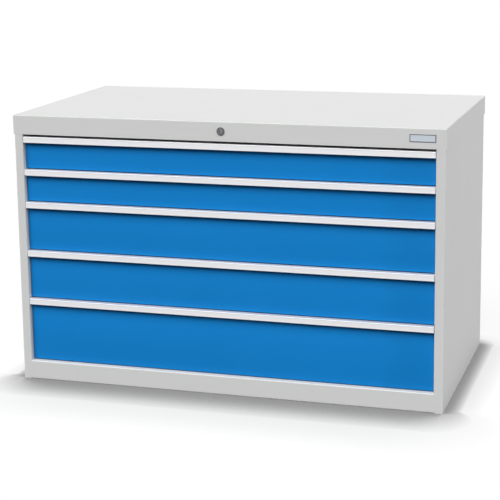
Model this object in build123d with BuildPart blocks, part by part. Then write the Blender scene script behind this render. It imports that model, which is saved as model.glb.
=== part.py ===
from build123d import *
import os

# Raster of the drawers, and the space inside one
raster = 25.0
useful_width = 1200.0
useful_depth = 600.0
drawer_heights = (100.0, 100.0, 150.0, 150.0, 200.0)

# Housing
plinth_height = 57.0
slide_space = 32.0
rear_space = 64.0
post_lip = 12.0
head_gap = 4.0
cover_rim = 58.0
cover_overhang = 2.5
cover_hem = 14.0
housing_sheet = 1.5
back_sheet = 1.2
bend = 3.0
flange = 25.0
floor_flange = 20.0
seat_gap = 0.2
sheet_gap = 1.0

# Slotted uprights that carry the rails
upright_depth = 14.5
upright_width = 40.0
upright_lip = 12.0
upright_setback = 38.0
slot_width = 4.5
slot_height = 15.0
hook_width = 3.0
hook_height = 11.0
hook_reach = 4.0

# Telescopic rails and their rollers
rail_setback = 2.0
rail_sheet = 2.0
rail_height = 37.0
rail_depth = 11.5
middle_shortfall = 20.0
middle_setback = 6.0
middle_height = 36.0
middle_sheet = 1.5
middle_web = 2.0
drawer_rail_shortfall = 6.0
drawer_rail_setback = 4.0
drawer_rail_height = 28.0
drawer_rail_depth = 9.0
drawer_rail_sheet = 1.5
rail_steps = 1
channel_gap = 1.0
roller_gap = 0.3
roller_face_gap = 0.8
roller_end = 18.0
roller_rear = 22.0
roller_sides = 24

# Drawer tray, front and handle strip
tray_sheet = 1.0
tray_hem = 1.0
tray_hem_height = 8.0
tray_lift = 8.0
tray_headroom = 20.0
front_setback = 16.0
front_depth = 18.0
front_sheet = 1.25
front_bend = 2.0
front_return = 30.0
front_side_gap = 1.0
pan_inset = 4.0
front_gap = 3.0
handle_drop = 3.5
handle_height = 17.9
handle_top_sheet = 1.8
handle_lip_sheet = 2.6
handle_leg_sheet = 1.4
handle_leg = 9.0
handle_cap = 8.0
handle_round = 1.1
label_groove_height = 12.5
label_groove_depth = 0.4

# Lock cylinder and its cam
lock_rise = 30.0
lock_stand = 2.5
bezel_radius = 12.0
barrel_radius = 9.5
barrel_length = 22.0
plug_radius = 6.5
running_gap = 0.05
keyway_width = 2.0
keyway_height = 8.5
keyway_depth = 12.0
keyway_offset = 2.5
nut_width = 24.0
nut_thickness = 5.0
tail_width = 6.0
cam_thickness = 3.0
cam_gap = 0.5
cam_hub_radius = 8.0
cam_tip_radius = 4.5
cam_reach = 8.5
cam_pin_radius = 2.5
cam_screw_radius = 2.0
cam_screw_length = 9.0
cam_screw_head_width = 8.0
cam_screw_head = 2.6
cam_screw_gap = 1.9

# Draw bar across the head, and the upright locking bar behind the right post
draw_bar_thickness = 3.0
draw_bar_drop = 22.0
draw_bar_height = 16.0
draw_bar_margin = 3.5
draw_bar_wall_gap = 1.5
window_gap = 0.6
guide_width = 20.0
guide_wall = 3.0
guide_count = 3
locking_front_gap = 2.0
locking_back_gap = 3.5
locking_sheet = 2.0
locking_leg_width = 8.0
locking_leg_depth = 12.0
locking_pin_margin = 0.5
locking_pin_rise = 6.0
locking_foot = 5.0
lug_size = 8.0
lug_engagement = 10.5
lug_gap = 2.0
catch_gap = 1.0
catch_clearance = 1.5
catch_sheet = 2.0
catch_side_gap = 5.0
catch_length = 24.0
locking_guide_length = 14.0
locking_guide_ends = 60.0

# Plain plate on the rim
plate_width = 74.5
plate_height = 22.0
plate_thickness = 0.8
plate_border = 2.0
plate_recess = 0.3
plate_rise = 18.5

# Heights that follow from the sizes above
drawer_count = len(drawer_heights)
stack_top = plinth_height + sum(drawer_heights)
rim_bottom = stack_top + head_gap
cabinet_top = rim_bottom + cover_rim
body_top = cabinet_top - housing_sheet
rail_level = rail_steps * raster
lock_height = rim_bottom + lock_rise
draw_bar_bottom = lock_height - draw_bar_drop
locking_pin_height = draw_bar_bottom + locking_pin_rise
plate_bottom = rim_bottom + plate_rise
lug_level = rail_level + middle_height / 2 + lug_gap + lug_size / 2

# Depths behind the front face, and the lengths of the rails
cam_swing = cam_reach * 0.5 ** 0.5
lock_travel = 2 * cam_swing
cam_depth = barrel_length + cam_gap
draw_bar_depth = cam_depth + cam_thickness + cam_screw_head + cam_screw_gap
locking_depth = draw_bar_depth + draw_bar_thickness + locking_front_gap
lug_depth = locking_depth + locking_leg_depth / 2
post_depth = locking_depth + locking_leg_depth + locking_back_gap + housing_sheet
rail_length = useful_depth
middle_length = rail_length - middle_shortfall
drawer_rail_length = rail_length - drawer_rail_shortfall
body_depth = post_depth + rail_setback + rail_length + rear_space

# Places from front to rear
front = lock_stand - (lock_stand + body_depth + cover_overhang) / 2
rear = front + body_depth
post_back = front + post_depth
pan_front = front + front_setback
pan_back = pan_front + front_depth
rail_front = post_back + rail_setback
middle_front = rail_front + middle_setback
middle_back = middle_front + middle_length
drawer_rail_front = pan_back + drawer_rail_setback
drawer_rail_back = drawer_rail_front + drawer_rail_length
front_upright_y = post_back + upright_setback
rear_upright_y = rail_front + rail_length - upright_setback

# Places from the middle out to the right wall
tray_half = useful_width / 2 + tray_hem + tray_sheet
upright_face = tray_half + slide_space
inner_half = upright_face + upright_depth
body_half = inner_half + housing_sheet
bar_room = 2 * cam_pin_radius + locking_pin_margin + lock_travel + draw_bar_margin
post_width = 2 * housing_sheet + sheet_gap + bar_room + draw_bar_wall_gap
opening_half = body_half - post_width
front_half = opening_half - front_side_gap
pan_half = front_half - pan_inset
rail_mouth = upright_face - rail_depth
rail_inside = upright_face - rail_sheet
drawer_rail_web = tray_half + drawer_rail_sheet
drawer_rail_tip = tray_half + drawer_rail_depth
middle_web_inner = drawer_rail_tip + channel_gap
middle_web_outer = middle_web_inner + middle_web
middle_inner_tip = drawer_rail_web + channel_gap
middle_outer_tip = rail_mouth - channel_gap
locking_inner = opening_half + housing_sheet + sheet_gap
pin_x = locking_inner + cam_pin_radius + locking_pin_margin
catch_tip = opening_half - catch_side_gap
lug_tip = catch_tip - lug_engagement
guide_pitch = opening_half / guide_count

# Wheels that run in the channels
rail_wheel = rail_height / 2 - rail_sheet - roller_gap
middle_wheel = middle_height / 2 - middle_sheet - roller_gap
drawer_wheel = drawer_rail_height / 2 - drawer_rail_sheet - roller_gap

os.makedirs("parts", exist_ok=True)


def write(piece, name):
    """Label one finished piece and write it as its own file."""
    piece.label = name
    export_step(piece, f"parts/{name}.step")


def facing(y):
    """Upright plane at depth y that looks to the front; X is across, Y is up."""
    return Plane.XZ.offset(-y)


def module_bottom(number):
    """Height of the lower end of a drawer's share of the raster."""
    return stack_top - sum(drawer_heights[:number])


def folded_section(points, wall, side=Side.LEFT, radius=None):
    """Fill the sketch in work with a sheet folded along the points, round or sharp at the folds."""
    with BuildLine() as folds:
        if radius:
            FilletPolyline(*points, radius=radius)
        else:
            Polyline(*points)
        offset(amount=wall, side=side, kind=Kind.INTERSECTION)
    make_face(folds.edges())


def block(x_range, y_range, z_range, mode=Mode.ADD):
    """Add or cut a straight block between pairs of limits in the part in work."""
    size = [high - low for low, high in (x_range, y_range, z_range)]
    middle = [(high + low) / 2 for low, high in (x_range, y_range, z_range)]
    with Locations(tuple(middle)):
        Box(*size, mode=mode)


def side_panel(with_lug_slots):
    """Right-hand wall: one sheet folded into wall, front post, return and rear flange."""
    with BuildPart() as panel:
        with BuildSketch(Plane.XY):
            folded_section(
                [
                    (opening_half + post_lip, post_back),
                    (opening_half, post_back),
                    (opening_half, front),
                    (body_half, front),
                    (body_half, rear),
                    (body_half - flange, rear),
                ],
                housing_sheet,
                radius=bend,
            )
        extrude(amount=body_top - housing_sheet / 2)
        inside = (inner_half - flange, inner_half + housing_sheet / 2)
        along = (post_back + bend, rear - housing_sheet - bend)
        block(inside, along, (0, housing_sheet))
        block(inside, along, (body_top - housing_sheet, body_top))
        block(
            (opening_half - bend, body_half + bend),
            (front - bend, front + 2 * housing_sheet),
            (rim_bottom - seat_gap, cabinet_top),
            mode=Mode.SUBTRACT,
        )
        block(
            (opening_half - bend, opening_half + bend),
            (front - bend, post_back + bend),
            (0, plinth_height),
            mode=Mode.SUBTRACT,
        )
        if with_lug_slots:
            through = (opening_half - bend, opening_half + bend)
            bar_front = front + draw_bar_depth
            block(
                through,
                (bar_front - sheet_gap, bar_front + draw_bar_thickness + sheet_gap),
                (draw_bar_bottom - sheet_gap, cabinet_top),
                mode=Mode.SUBTRACT,
            )
            lug_room = lug_size / 2 + sheet_gap / 2
            for number in range(1, drawer_count + 1):
                lug = module_bottom(number) + lug_level
                block(
                    through,
                    (front + lug_depth - lug_room, front + lug_depth + lug_room),
                    (lug - lug_room, lug + lock_travel + lug_room),
                    mode=Mode.SUBTRACT,
                )
    return panel.part


def top_cover():
    """Hood over the whole housing, open below, with the lock's hole and a hem behind the rim."""
    width = 2 * (body_half + cover_overhang)
    depth = body_depth + cover_overhang
    with BuildPart() as cover:
        with BuildSketch(Plane.XY.offset(rim_bottom)):
            with Locations((0, front + depth / 2)):
                Rectangle(width, depth)
        extrude(amount=cover_rim)
        offset(amount=-housing_sheet, openings=cover.faces().sort_by(Axis.Z)[0])
        fillet(cover.faces().sort_by(Axis.Z)[-1].edges(), bend)
        hem_half = opening_half - sheet_gap
        block(
            (-hem_half, hem_half),
            (front + housing_sheet / 2, front + housing_sheet + cover_hem),
            (rim_bottom, rim_bottom + housing_sheet),
        )
        with BuildSketch(facing(front - bend)):
            with Locations((0, lock_height)):
                Circle(barrel_radius + running_gap)
        extrude(amount=-(2 * bend), mode=Mode.SUBTRACT)
    return cover.part


def head_rail():
    """Channel between the posts behind the rim, open to the front, that carries the lock bar."""
    half = opening_half - seat_gap
    low = rim_bottom + housing_sheet + seat_gap
    lip_front = front + housing_sheet + nut_thickness
    with BuildPart() as rail:
        with BuildSketch(Plane.YZ.offset(-half)):
            folded_section(
                [(lip_front, low), (post_back, low), (post_back, body_top), (lip_front, body_top)],
                housing_sheet,
            )
        extrude(amount=2 * half)
    return rail.part


def front_plinth():
    """Channel below the lowest drawer, flush with the flat of the posts that it meets."""
    half = opening_half + bend
    with BuildPart() as plinth:
        with BuildSketch(Plane.YZ.offset(-half)):
            folded_section(
                [(post_back, 0), (front, 0), (front, plinth_height), (post_back, plinth_height)],
                housing_sheet,
                Side.RIGHT,
                bend,
            )
        extrude(amount=2 * half)
    return plinth.part


def floor_panel():
    """Floor behind the plinth, with a flange turned down along each side wall."""
    half = inner_half - seat_gap
    start = post_back + seat_gap
    stop = rear - housing_sheet - back_sheet - seat_gap
    with BuildPart() as floor:
        with BuildSketch(facing(start)):
            low = plinth_height - floor_flange
            folded_section(
                [(-half, low), (-half, plinth_height), (half, plinth_height), (half, low)],
                housing_sheet,
                Side.RIGHT,
            )
        extrude(amount=-(stop - start))
    return floor.part


def back_panel():
    """Plain sheet that closes the housing, against the inside of the rear flanges."""
    half = inner_half - bend
    stop = rear - housing_sheet
    with BuildPart() as panel:
        block((-half, half), (stop - back_sheet, stop), (housing_sheet + sheet_gap, body_top))
    return panel.part


def upright(middle_y):
    """Right-hand hat section with a slot at each step of the raster."""
    low = middle_y - upright_width / 2 + housing_sheet
    high = middle_y + upright_width / 2 - housing_sheet
    web = upright_face + housing_sheet
    with BuildPart() as post:
        with BuildSketch(Plane.XY.offset(plinth_height)):
            folded_section(
                [
                    (inner_half, low - upright_lip),
                    (inner_half, low),
                    (web, low),
                    (web, high),
                    (inner_half, high),
                    (inner_half, high + upright_lip),
                ],
                housing_sheet,
            )
        extrude(amount=stack_top - plinth_height)
        steps = int(sum(drawer_heights) // raster)
        with BuildSketch(Plane.YZ.offset(upright_face - housing_sheet)):
            with Locations((middle_y, plinth_height + steps * raster / 2)):
                with GridLocations(raster, raster, 1, steps):
                    Rectangle(slot_width, slot_height)
        extrude(amount=3 * housing_sheet, mode=Mode.SUBTRACT)
    return post.part


def group(*pieces):
    """Put like pieces that lie apart into one part, each its own solid."""
    with BuildPart() as together:
        for piece in pieces:
            add(piece)
    return together.part


def mirrored(piece):
    """The left-hand copy of a right-hand piece."""
    with BuildPart() as copy:
        add(piece)
        mirror(about=Plane.YZ, mode=Mode.REPLACE)
    return copy.part


def roller(y, level, radius, x_range):
    """Right-hand wheel between two limits across, with as many sides as so small a wheel needs."""
    low, high = x_range
    with BuildPart() as wheel:
        with BuildSketch(Plane.YZ.offset(low)):
            with Locations((y, level)):
                RegularPolygon(radius, roller_sides)
        extrude(amount=high - low)
    return wheel.part


def cabinet_rail(level):
    """Right-hand outer channel of one slide, with hooks that enter the uprights' slots."""
    half = rail_height / 2
    with BuildPart() as rail:
        with BuildSketch(facing(rail_front)):
            folded_section(
                [
                    (rail_mouth, level - half),
                    (upright_face, level - half),
                    (upright_face, level + half),
                    (rail_mouth, level + half),
                ],
                rail_sheet,
            )
        extrude(amount=-rail_length)
        for y in (front_upright_y, rear_upright_y):
            for step in (-raster / 2, raster / 2):
                block(
                    (rail_inside + rail_sheet / 2, upright_face + hook_reach),
                    (y - hook_width / 2, y + hook_width / 2),
                    (level + step - hook_height / 2, level + step + hook_height / 2),
                )
    return rail.part


def middle_rail(level):
    """Right-hand middle member: two channels back to back."""
    half = middle_height / 2
    flange_middle = (middle_inner_tip + middle_outer_tip) / 2
    with BuildPart() as rail:
        with BuildSketch(facing(middle_front)):
            with Locations((middle_web_inner + middle_web / 2, level)):
                Rectangle(middle_web, middle_height)
            for side in (-1, 1):
                with Locations((flange_middle, level + side * (half - middle_sheet / 2))):
                    Rectangle(middle_outer_tip - middle_inner_tip, middle_sheet)
        extrude(amount=-middle_length)
    return rail.part


def drawer_rail(level):
    """Right-hand inner channel on the tray's side, cut away at the rear for its wheel."""
    half = drawer_rail_height / 2
    with BuildPart() as rail:
        with BuildSketch(facing(drawer_rail_front)):
            folded_section(
                [
                    (drawer_rail_tip, level - half),
                    (tray_half, level - half),
                    (tray_half, level + half),
                    (drawer_rail_tip, level + half),
                ],
                drawer_rail_sheet,
                Side.RIGHT,
            )
        extrude(amount=-drawer_rail_length)
        block(
            (drawer_rail_web, drawer_rail_tip + channel_gap),
            (drawer_rail_back - 2 * roller_end, drawer_rail_back + channel_gap),
            (level - half - channel_gap, level + half + channel_gap),
            mode=Mode.SUBTRACT,
        )
    return rail.part


def catch(level):
    """Angle on the tray's right side; the lock's lug passes below it, or stands before its end."""
    lug_top = level - rail_level + lug_level + lug_size / 2
    low = lug_top + catch_clearance
    high = lug_top + lock_travel + lug_gap
    catch_front = front + lug_depth + lug_size / 2 + catch_gap
    with BuildPart() as angle:
        with BuildSketch(Plane.XY.offset(low)):
            folded_section(
                [
                    (tray_half, catch_front + catch_length),
                    (tray_half, catch_front),
                    (catch_tip, catch_front),
                ],
                catch_sheet,
            )
        extrude(amount=high - low)
    return angle.part


def cabinet_roller(level):
    """Right-hand wheel at the mouth of the outer channel; it carries the middle member."""
    across = (middle_web_outer + roller_face_gap, rail_inside)
    return roller(rail_front + roller_end, level, middle_wheel, across)


def middle_rear_roller(level):
    """Right-hand wheel at the back of the middle member, inside the outer channel."""
    across = (middle_web_outer, rail_inside - roller_face_gap)
    return roller(middle_back - roller_rear, level, min(rail_wheel, middle_wheel), across)


def middle_front_roller(level):
    """Right-hand wheel at the front of the middle member; it carries the drawer's channel."""
    across = (drawer_rail_web + roller_face_gap, middle_web_inner)
    return roller(middle_front + roller_end, level, drawer_wheel, across)


def drawer_roller(level):
    """Right-hand wheel at the back of the drawer's channel, inside the middle member."""
    across = (drawer_rail_web, drawer_rail_tip)
    return roller(drawer_rail_back - roller_end, level, middle_wheel, across)


def tray(number):
    """Open sheet box of one drawer, its upper edge hemmed inwards."""
    bottom = module_bottom(number) + tray_lift
    top = bottom + drawer_heights[number - 1] - tray_headroom
    hem_half = useful_width / 2
    inner_half_width = hem_half + tray_hem
    inner_front = pan_back + tray_sheet
    inner_back = inner_front + useful_depth + 2 * tray_hem
    with BuildPart() as box:
        block((-tray_half, tray_half), (pan_back, inner_back + tray_sheet), (bottom, top))
        block(
            (-inner_half_width, inner_half_width),
            (inner_front, inner_back),
            (bottom + tray_sheet, top - tray_hem_height),
            mode=Mode.SUBTRACT,
        )
        block(
            (-hem_half, hem_half),
            (inner_front + tray_hem, inner_back - tray_hem),
            (bottom + tray_sheet, top + tray_hem),
            mode=Mode.SUBTRACT,
        )
    return box.part


def pan(number):
    """Coloured front of one drawer: a shallow pan of folded sheet whose returns meet the tray."""
    is_lowest = number == drawer_count
    bottom = module_bottom(number) + front_gap - (0 if is_lowest else handle_drop)
    top = module_bottom(number) + drawer_heights[number - 1] - handle_drop - handle_top_sheet
    with BuildPart() as sheet:
        with BuildSketch(facing(pan_front)):
            with Locations((0, (bottom + top) / 2)):
                Rectangle(2 * pan_half, top - bottom)
        extrude(amount=-front_depth)
        offset(amount=-front_sheet, openings=sheet.faces().sort_by(Axis.Y)[-1])
        fillet(sheet.faces().sort_by(Axis.Y)[0].edges(), front_bend)
        with BuildSketch(facing(pan_back - front_sheet)):
            with Locations((0, (bottom + top) / 2)):
                Rectangle(2 * pan_half - front_sheet, top - bottom - front_sheet)
                inner_width = 2 * (pan_half - front_return)
                inner_height = top - bottom - 2 * front_return
                Rectangle(inner_width, inner_height, mode=Mode.SUBTRACT)
        extrude(amount=-front_sheet)
    return sheet.part


def handle(number):
    """Full-width grip strip: cap over the pan, lip in front with a label groove, leg behind."""
    top = module_bottom(number) + drawer_heights[number - 1] - handle_drop
    under = top - handle_top_sheet
    lip_bottom = top - handle_height
    lip_back = front + handle_lip_sheet
    leg_front = pan_front - handle_leg_sheet
    with BuildPart() as strip:
        with BuildSketch(Plane.YZ.offset(-front_half)) as section:
            with BuildLine():
                Polyline(
                    (front, lip_bottom),
                    (front, top),
                    (pan_front + handle_cap, top),
                    (pan_front + handle_cap, under),
                    (pan_front, under),
                    (pan_front, under - handle_leg),
                    (leg_front, under - handle_leg),
                    (leg_front, under),
                    (lip_back, under),
                    (lip_back, lip_bottom),
                    close=True,
                )
            make_face()
            lowest = section.vertices().group_by(Axis.Y)[0]
            upper_front = section.vertices().group_by(Axis.Y)[-1].sort_by(Axis.X)[0]
            fillet([*lowest, upper_front], handle_round)
            with Locations((front, top - handle_height / 2)):
                Rectangle(2 * label_groove_depth, label_groove_height, mode=Mode.SUBTRACT)
        extrude(amount=2 * front_half)
    return strip.part


def lock_barrel():
    """Fixed case of the lock: a bezel before the rim and a threaded body behind it."""
    with BuildPart() as barrel:
        with BuildSketch(facing(front - lock_stand)):
            with Locations((0, lock_height)):
                Circle(bezel_radius)
        extrude(amount=-lock_stand)
        with BuildSketch(facing(front)):
            with Locations((0, lock_height)):
                Circle(barrel_radius)
        extrude(amount=-barrel_length)
        with BuildSketch(facing(front - lock_stand)):
            with Locations((0, lock_height)):
                Circle(plug_radius + running_gap)
        extrude(amount=-(lock_stand + barrel_length), mode=Mode.SUBTRACT)
    return barrel.part


def lock_nut():
    """Flat hexagon nut that holds the barrel behind the rim."""
    with BuildPart() as nut:
        with BuildSketch(facing(front + housing_sheet)):
            with Locations((0, lock_height)):
                RegularPolygon(nut_width / 2, 6, major_radius=False)
                Circle(barrel_radius + running_gap, mode=Mode.SUBTRACT)
        extrude(amount=-nut_thickness)
    return nut.part


def lock_plug():
    """Turning core with the keyway in front and a square tail for the cam."""
    with BuildPart() as plug:
        with BuildSketch(facing(front - lock_stand)):
            with Locations((0, lock_height)):
                Circle(plug_radius)
        extrude(amount=-(lock_stand + cam_depth))
        with BuildSketch(facing(front + cam_depth)):
            with Locations((0, lock_height)):
                Rectangle(tail_width, tail_width)
        extrude(amount=-cam_thickness)
        with BuildSketch(facing(front - lock_stand)):
            with Locations((-keyway_offset, lock_height)):
                Rectangle(keyway_width, keyway_height)
        extrude(amount=-keyway_depth, mode=Mode.SUBTRACT)
        with BuildSketch(facing(front + cam_depth + cam_thickness)):
            with Locations((0, lock_height)):
                Circle(cam_screw_radius)
        extrude(amount=cam_screw_length, mode=Mode.SUBTRACT)
    return plug.part


def lock_cam():
    """Short lever on the plug's tail, with a pin that moves the draw bar."""
    cam_front = front + cam_depth
    tip = (cam_swing, lock_height - cam_swing)
    with BuildPart() as cam:
        with BuildSketch(facing(cam_front)):
            with Locations((0, lock_height)):
                Circle(cam_hub_radius)
            with Locations(tip):
                Circle(cam_tip_radius)
            make_hull()
            with Locations((0, lock_height)):
                Rectangle(tail_width + 2 * running_gap, tail_width + 2 * running_gap, mode=Mode.SUBTRACT)
        extrude(amount=-cam_thickness)
        with BuildSketch(facing(cam_front + cam_thickness / 2)):
            with Locations(tip):
                Circle(cam_pin_radius)
        pin_end = front + draw_bar_depth + draw_bar_thickness + window_gap
        extrude(amount=-(pin_end - cam_front - cam_thickness / 2))
    return cam.part


def cam_screw():
    """Screw that holds the cam on the plug's tail."""
    seat = front + cam_depth + cam_thickness
    with BuildPart() as screw:
        with BuildSketch(facing(seat)):
            with Locations((0, lock_height)):
                RegularPolygon(cam_screw_head_width / 2, 6, major_radius=False)
        extrude(amount=-cam_screw_head)
        with BuildSketch(facing(seat)):
            with Locations((0, lock_height)):
                Circle(cam_screw_radius - running_gap)
        extrude(amount=cam_screw_length - sheet_gap)
    return screw.part


def draw_bar():
    """Flat bar that the cam pulls across; its slanted slot lifts the locking bar."""
    window_low = lock_height - cam_reach - cam_pin_radius - window_gap
    window_high = lock_height - cam_swing + cam_pin_radius + window_gap
    window_width = 2 * (cam_pin_radius + window_gap)
    pin_slot_width = 2 * (cam_pin_radius + running_gap)
    right_end = pin_x + lock_travel + cam_pin_radius + draw_bar_margin
    bar_top = draw_bar_bottom + draw_bar_height
    head_top = window_high + draw_bar_margin
    end_top = locking_pin_height + lock_travel + cam_pin_radius + draw_bar_margin
    plate_half = window_width / 2 + 2 * draw_bar_margin
    end_left = pin_x - cam_pin_radius - 2 * draw_bar_margin
    with BuildPart() as bar:
        with BuildSketch(facing(front + draw_bar_depth)):
            with BuildLine():
                Polyline(
                    (cam_swing - plate_half, draw_bar_bottom),
                    (right_end, draw_bar_bottom),
                    (right_end, end_top),
                    (pin_x + lock_travel - cam_pin_radius - draw_bar_margin, end_top),
                    (end_left, bar_top),
                    (cam_swing + plate_half + draw_bar_margin, bar_top),
                    (cam_swing + plate_half, head_top),
                    (cam_swing - plate_half, head_top),
                    close=True,
                )
            make_face()
            with Locations((cam_swing, (window_low + window_high) / 2)):
                Rectangle(window_width, window_high - window_low, mode=Mode.SUBTRACT)
            with Locations((pin_x + lock_travel / 2, locking_pin_height + lock_travel / 2)):
                SlotCenterToCenter(
                    lock_travel * 2 ** 0.5, pin_slot_width, rotation=45, mode=Mode.SUBTRACT
                )
        extrude(amount=-draw_bar_thickness)
    return bar.part


def draw_bar_guides():
    """Moulded loops on the head rail that the draw bar slides through."""
    bar_front = front + draw_bar_depth
    bar_back = bar_front + draw_bar_thickness
    web = post_back - housing_sheet
    with BuildPart() as guides:
        for number in range(guide_count):
            x = guide_pitch * (number + 0.5)
            across = (x - guide_width / 2, x + guide_width / 2)
            block(
                across,
                (bar_front - guide_wall / 2, web),
                (draw_bar_bottom - guide_wall, draw_bar_bottom + draw_bar_height + guide_wall),
            )
            block(
                (across[0] - sheet_gap, across[1] + sheet_gap),
                (bar_front - seat_gap, bar_back + seat_gap),
                (draw_bar_bottom - seat_gap, draw_bar_bottom + draw_bar_height + seat_gap),
                mode=Mode.SUBTRACT,
            )
    return guides.part


def locking_bar():
    """Upright angle behind the right post, with a pin at its top for the draw bar's slot."""
    leg_front = front + locking_depth
    bottom = plinth_height + locking_foot
    with BuildPart() as bar:
        with BuildSketch(Plane.XY.offset(bottom)):
            folded_section(
                [
                    (locking_inner, leg_front + locking_leg_depth),
                    (locking_inner, leg_front),
                    (locking_inner + locking_leg_width, leg_front),
                ],
                locking_sheet,
            )
        extrude(amount=locking_pin_height + cam_pin_radius + locking_foot - bottom)
        with BuildSketch(facing(leg_front + locking_sheet / 2)):
            with Locations((pin_x, locking_pin_height)):
                Circle(cam_pin_radius)
        extrude(amount=draw_bar_thickness + locking_front_gap + window_gap + locking_sheet / 2)
    return bar.part


def locking_lugs():
    """Square lugs on the locking bar that reach through the post, one for each drawer."""
    middle = front + lug_depth
    with BuildPart() as lugs:
        for number in range(1, drawer_count + 1):
            level = module_bottom(number) + lug_level
            block(
                (lug_tip, locking_inner),
                (middle - lug_size / 2, middle + lug_size / 2),
                (level - lug_size / 2, level + lug_size / 2),
            )
    return lugs.part


def locking_bar_guides():
    """Moulded blocks on the right wall that steer the locking bar's edge."""
    leg_front = front + locking_depth
    edge = locking_inner + locking_leg_width
    with BuildPart() as guides:
        for middle in (plinth_height + locking_guide_ends, stack_top - locking_guide_ends):
            along = (middle - locking_guide_length / 2, middle + locking_guide_length / 2)
            block(
                (edge - locking_leg_width / 4, inner_half),
                (leg_front - guide_wall, leg_front + locking_sheet + guide_wall),
                along,
            )
            block(
                (edge - locking_leg_width / 2, edge + seat_gap),
                (leg_front - seat_gap, leg_front + locking_sheet + seat_gap),
                (along[0] - sheet_gap, along[1] + sheet_gap),
                mode=Mode.SUBTRACT,
            )
    return guides.part


def rim_plate():
    """Plain plate at the right end of the rim: a raised border round a bare field."""
    plate_middle = opening_half - plate_width / 2
    height_middle = plate_bottom + plate_height / 2
    with BuildPart() as plate:
        with BuildSketch(facing(front - plate_thickness)):
            with Locations((plate_middle, height_middle)):
                Rectangle(plate_width, plate_height)
        extrude(amount=-plate_thickness)
        with BuildSketch(facing(front - plate_thickness)):
            with Locations((plate_middle, height_middle)):
                Rectangle(plate_width - 2 * plate_border, plate_height - 2 * plate_border)
        extrude(amount=-plate_recess, mode=Mode.SUBTRACT)
    return plate.part


# Housing pieces
right_wall = side_panel(True)
write(right_wall, "right_side_panel")
write(mirrored(side_panel(False)), "left_side_panel")
write(top_cover(), "top_cover")
write(head_rail(), "head_rail")
write(front_plinth(), "front_plinth")
write(floor_panel(), "floor_panel")
write(back_panel(), "back_panel")
for place, y in (("front", front_upright_y), ("rear", rear_upright_y)):
    right_upright = upright(y)
    write(right_upright, f"{place}_right_upright")
    write(mirrored(right_upright), f"{place}_left_upright")
write(rim_plate(), "rim_plate")

# Lock and locking bars
write(lock_barrel(), "lock_barrel")
write(lock_nut(), "lock_nut")
write(lock_plug(), "lock_plug")
write(lock_cam(), "lock_cam")
write(cam_screw(), "cam_screw")
write(draw_bar(), "draw_bar")
write(draw_bar_guides(), "draw_bar_guides")
write(locking_bar(), "locking_bar")
write(locking_lugs(), "locking_lugs")
write(locking_bar_guides(), "locking_bar_guides")

# Rails fixed to the uprights
fixed_rails = []
fixed_rollers = []
for number in range(1, drawer_count + 1):
    level = module_bottom(number) + rail_level
    rail = cabinet_rail(level)
    wheel = cabinet_roller(level)
    fixed_rails += [rail, mirrored(rail)]
    fixed_rollers += [wheel, mirrored(wheel)]
write(group(*fixed_rails), "cabinet_rails")
write(group(*fixed_rollers), "cabinet_rail_rollers")

# Drawers, numbered from the top, with their moving rails
for number in range(1, drawer_count + 1):
    level = module_bottom(number) + rail_level
    middle = middle_rail(level)
    middle_rollers = group(middle_front_roller(level), middle_rear_roller(level))
    inner_rail = drawer_rail(level)
    inner_roller = drawer_roller(level)
    write(tray(number), f"drawer_{number}_tray")
    write(pan(number), f"drawer_{number}_front")
    write(handle(number), f"drawer_{number}_handle")
    write(group(inner_rail, mirrored(inner_rail), catch(level)), f"drawer_{number}_rails")
    write(group(inner_roller, mirrored(inner_roller)), f"drawer_{number}_rollers")
    write(group(middle, mirrored(middle)), f"drawer_{number}_middle_rails")
    write(group(middle_rollers, mirrored(middle_rollers)), f"drawer_{number}_middle_rollers")
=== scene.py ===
import logging
import math
from collections.abc import Callable
from dataclasses import dataclass
from enum import Enum
from typing import Any

import bpy
from mathutils import Matrix, Vector


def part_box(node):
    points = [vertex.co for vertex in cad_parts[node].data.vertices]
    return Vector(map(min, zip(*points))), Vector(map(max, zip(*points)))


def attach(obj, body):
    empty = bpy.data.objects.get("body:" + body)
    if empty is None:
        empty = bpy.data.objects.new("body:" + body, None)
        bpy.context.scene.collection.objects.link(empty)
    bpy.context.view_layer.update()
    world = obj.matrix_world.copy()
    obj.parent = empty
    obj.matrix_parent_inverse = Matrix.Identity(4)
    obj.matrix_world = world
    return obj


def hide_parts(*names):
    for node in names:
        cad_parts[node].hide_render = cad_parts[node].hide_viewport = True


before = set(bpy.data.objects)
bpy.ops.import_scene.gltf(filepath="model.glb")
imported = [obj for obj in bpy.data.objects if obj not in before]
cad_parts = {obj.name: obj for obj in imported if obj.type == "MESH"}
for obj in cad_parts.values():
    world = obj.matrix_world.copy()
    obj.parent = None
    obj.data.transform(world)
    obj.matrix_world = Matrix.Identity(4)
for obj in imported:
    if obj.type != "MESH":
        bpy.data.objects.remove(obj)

LOG = logging.getLogger("drawer_cabinet")
MM = 0.001
DRAWERS = range(1, 6)
IMAGE_PX = 500
# A face looks along an axis when its normal has at least this share of it.
FACING = 0.9
# Lengths that differ by less than this count as the same.
SAME_MM = 0.01
# Points nearer to each other than this are merged, in metres.
WELD_M = 1e-6
# Folds sharper than this keep their crease.
CREASE_DEG = 35
# Rays with which a material rounds an edge.
EDGE_SAMPLES = 4
# Way from ring to ring of a wave texture at a scale of 1, in metres.
WAVE_LENGTH = math.pi / 10


class Body(Enum):
    """Bodies of the frame that the scene's own pieces ride on."""

    CABINET = "cabinet"
    DRAWER_1 = "drawer_1"
    DRAWER_2 = "drawer_2"
    DRAWER_3 = "drawer_3"
    DRAWER_4 = "drawer_4"
    DRAWER_5 = "drawer_5"


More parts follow.
